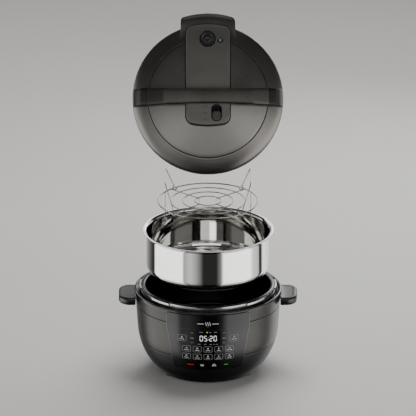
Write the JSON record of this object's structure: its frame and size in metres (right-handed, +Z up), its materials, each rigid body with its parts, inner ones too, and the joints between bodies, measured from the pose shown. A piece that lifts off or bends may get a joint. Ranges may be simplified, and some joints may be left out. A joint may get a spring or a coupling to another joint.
{
  "type": "electric pressure cooker",
  "caption": "Electric pressure cooker opened out: heated base with side handles and key panel, lift-out steel pot, wire rack and turning lid with strap handle.",
  "frame": {"origin": "middle of the whole opened-out object's box, on the surface it stands on", "axes": "+Z up, -Y towards the control panel, +X to the viewer's right"},
  "size_m": [0.405, 0.4317, 0.8856],
  "materials": {
    "black_plastic": "satin moulded black",
    "gloss_black": "polished black",
    "dark_metallic": "dark grey metallic coat",
    "polished_steel": "mirror polished stainless steel",
    "steel": "plain stainless steel",
    "rack_wire": "polished stainless wire",
    "strap_grey": "satin dark grey",
    "silicone": "translucent silicone",
    "foot_rubber": "matt rubber",
    "aluminium": "cast and machined",
    "board": "green solder mask",
    "key_film": "gloss black film",
    "lens": "smoked clear window"
  },
  "bodies": {
    "base": {"lower_housing": "black_plastic", "side_wrap": "dark_metallic", "upper_collar": "dark_metallic", "rim_ring": "gloss_black", "locking_ring": "steel", "inner_liner": "gloss_black", "handle_left": "black_plastic", "handle_right": "black_plastic", "heat_shield": "aluminium", "heating_plate": "aluminium", "sensor_spring": "steel", "bottom_cover": "black_plastic", "foot_front_left": "foot_rubber", "foot_front_right": "foot_rubber", "foot_back_left": "foot_rubber", "foot_back_right": "foot_rubber", "power_board": "board", "control_board": "board", "display_module": "black_plastic", "power_inlet": "black_plastic", "wire_harness": "black_plastic", "fascia": "gloss_black", "display_lens": "lens"},
    "pot": {"inner_pot": "polished_steel", "pot_base": "steel"},
    "rack": {"rack_grid": "rack_wire"},
    "rack_left": {"rack_handle_left": "rack_wire"},
    "rack_right": {"rack_handle_right": "rack_wire"},
    "seal": {"sealing_ring": "silicone"},
    "lid": {"lid_rim": "dark_metallic", "lid_top": "dark_metallic", "lid_spine": "dark_metallic", "lid_handle": "strap_grey", "inner_lid": "steel", "seal_frame": "rack_wire", "vent_shield": "steel"},
    "release": {"release_button": "black_plastic"},
    "float": {"float_valve": "aluminium"},
    "slider": {"vent_slider": "black_plastic"},
    "cup": {"condensation_cup": "black_plastic"},
    "sensor": {"sensor_cap": "aluminium"},
    "up_down_left": {"rocker_left": "key_film"},
    "up_down_right": {"rocker_right": "key_film"},
    "key_program_01": {"key_program_01": "key_film"},
    "key_program_02": {"key_program_02": "key_film"},
    "key_program_03": {"key_program_03": "key_film"},
    "key_program_04": {"key_program_04": "key_film"},
    "key_program_05": {"key_program_05": "key_film"},
    "key_program_06": {"key_program_06": "key_film"},
    "key_program_07": {"key_program_07": "key_film"},
    "key_program_08": {"key_program_08": "key_film"},
    "key_program_09": {"key_program_09": "key_film"},
    "key_program_10": {"key_program_10": "key_film"},
    "key_pressure": {"key_pressure": "key_film"},
    "key_delay": {"key_delay": "key_film"},
    "key_cancel": {"key_cancel": "key_film"},
    "key_keep_warm": {"key_keep_warm": "key_film"},
    "key_vent": {"key_vent": "key_film"},
    "key_start": {"key_start": "key_film"}
  },
  "joints": [
    {"name": "pot_lift", "type": "slide", "parent": "base", "child": "pot", "axis": [0, 0, 1], "range_m": [-0.13, 0]},
    {"name": "rack_lift", "type": "slide", "parent": "pot", "child": "rack", "axis": [0, 0, 1], "range_m": [-0.1376, 0]},
    {"name": "lid_tilt", "type": "hinge", "parent": "rack", "child": "seal", "pos_m": [0, -0.241, 0.4616], "axis": [1, 0, 0], "range_deg": [-64, 0]},
    {"name": "lid_turn", "type": "hinge", "parent": "seal", "child": "lid", "pos_m": [0, -0.12308, 0.70338], "axis": [0, -0.8988, 0.4384], "range_deg": [0, 22.5]},
    {"name": "rack_handle_left_fold", "type": "hinge", "parent": "rack", "child": "rack_left", "pos_m": [-0.075, 0.028, 0.403], "axis": [0, 1, 0], "range_deg": [0, 100]},
    {"name": "rack_handle_right_fold", "type": "hinge", "parent": "rack", "child": "rack_right", "pos_m": [0.075, 0.028, 0.403], "axis": [0, -1, 0], "range_deg": [0, 100]},
    {"name": "slider_slide", "type": "slide", "parent": "lid", "child": "slider", "axis": [0, 0.4384, 0.8988], "range_m": [0, 0.014]},
    {"name": "release_lift", "type": "slide", "parent": "lid", "child": "release", "axis": [0, -0.8988, 0.4384], "range_m": [0, 0.0021]},
    {"name": "float_rise", "type": "slide", "parent": "lid", "child": "float", "axis": [0, -0.8988, 0.4384], "range_m": [0, 0.005]},
    {"name": "cup_pull", "type": "slide", "parent": "base", "child": "cup", "axis": [0, 1, 0], "range_m": [0, 0.04]},
    {"name": "sensor_press", "type": "slide", "parent": "base", "child": "sensor", "axis": [0, 0, 1], "range_m": [-0.0025, 0]},
    {"name": "rocker_left_rock", "type": "hinge", "parent": "base", "child": "up_down_left", "pos_m": [-0.0365, -0.13444, 0.133], "axis": [1, 0, 0], "range_deg": [-3, 3], "stiffness_Nm_per_rad": 0.05},
    {"name": "rocker_right_rock", "type": "hinge", "parent": "base", "child": "up_down_right", "pos_m": [0.0365, -0.13444, 0.133], "axis": [1, 0, 0], "range_deg": [-3, 3], "stiffness_Nm_per_rad": 0.05},
    {"name": "key_program_01_press", "type": "slide", "parent": "base", "child": "key_program_01", "axis": [0, 1, 0], "range_m": [0, 0.0006], "stiffness_N_per_m": 500},
    {"name": "key_program_02_press", "type": "slide", "parent": "base", "child": "key_program_02", "axis": [0, 1, 0], "range_m": [0, 0.0006], "stiffness_N_per_m": 500},
    {"name": "key_program_03_press", "type": "slide", "parent": "base", "child": "key_program_03", "axis": [0, 1, 0], "range_m": [0, 0.0006], "stiffness_N_per_m": 500},
    {"name": "key_program_04_press", "type": "slide", "parent": "base", "child": "key_program_04", "axis": [0, 1, 0], "range_m": [0, 0.0006], "stiffness_N_per_m": 500},
    {"name": "key_program_05_press", "type": "slide", "parent": "base", "child": "key_program_05", "axis": [0, 1, 0], "range_m": [0, 0.0006], "stiffness_N_per_m": 500},
    {"name": "key_program_06_press", "type": "slide", "parent": "base", "child": "key_program_06", "axis": [0, 1, 0], "range_m": [0, 0.0006], "stiffness_N_per_m": 500},
    {"name": "key_program_07_press", "type": "slide", "parent": "base", "child": "key_program_07", "axis": [0, 1, 0], "range_m": [0, 0.0006], "stiffness_N_per_m": 500},
    {"name": "key_program_08_press", "type": "slide", "parent": "base", "child": "key_program_08", "axis": [0, 1, 0], "range_m": [0, 0.0006], "stiffness_N_per_m": 500},
    {"name": "key_program_09_press", "type": "slide", "parent": "base", "child": "key_program_09", "axis": [0, 1, 0], "range_m": [0, 0.0006], "stiffness_N_per_m": 500},
    {"name": "key_program_10_press", "type": "slide", "parent": "base", "child": "key_program_10", "axis": [0, 1, 0], "range_m": [0, 0.0006], "stiffness_N_per_m": 500},
    {"name": "key_pressure_press", "type": "slide", "parent": "base", "child": "key_pressure", "axis": [0, 1, 0], "range_m": [0, 0.0006], "stiffness_N_per_m": 500},
    {"name": "key_delay_press", "type": "slide", "parent": "base", "child": "key_delay", "axis": [0, 1, 0], "range_m": [0, 0.0006], "stiffness_N_per_m": 500},
    {"name": "key_cancel_press", "type": "slide", "parent": "base", "child": "key_cancel", "axis": [0, 1, 0], "range_m": [0, 0.0006], "stiffness_N_per_m": 500},
    {"name": "key_keep_warm_press", "type": "slide", "parent": "base", "child": "key_keep_warm", "axis": [0, 1, 0], "range_m": [0, 0.0006], "stiffness_N_per_m": 500},
    {"name": "key_vent_press", "type": "slide", "parent": "base", "child": "key_vent", "axis": [0, 1, 0], "range_m": [0, 0.0006], "stiffness_N_per_m": 500},
    {"name": "key_start_press", "type": "slide", "parent": "base", "child": "key_start", "axis": [0, 1, 0], "range_m": [0, 0.0006], "stiffness_N_per_m": 500}
  ],
  "couplings": [
    {"joint": "sensor_press", "follows": "pot_lift", "ratio": 0.0192},
    {"joint": "release_lift", "follows": "slider_slide", "ratio": 0.14286}
  ]
}
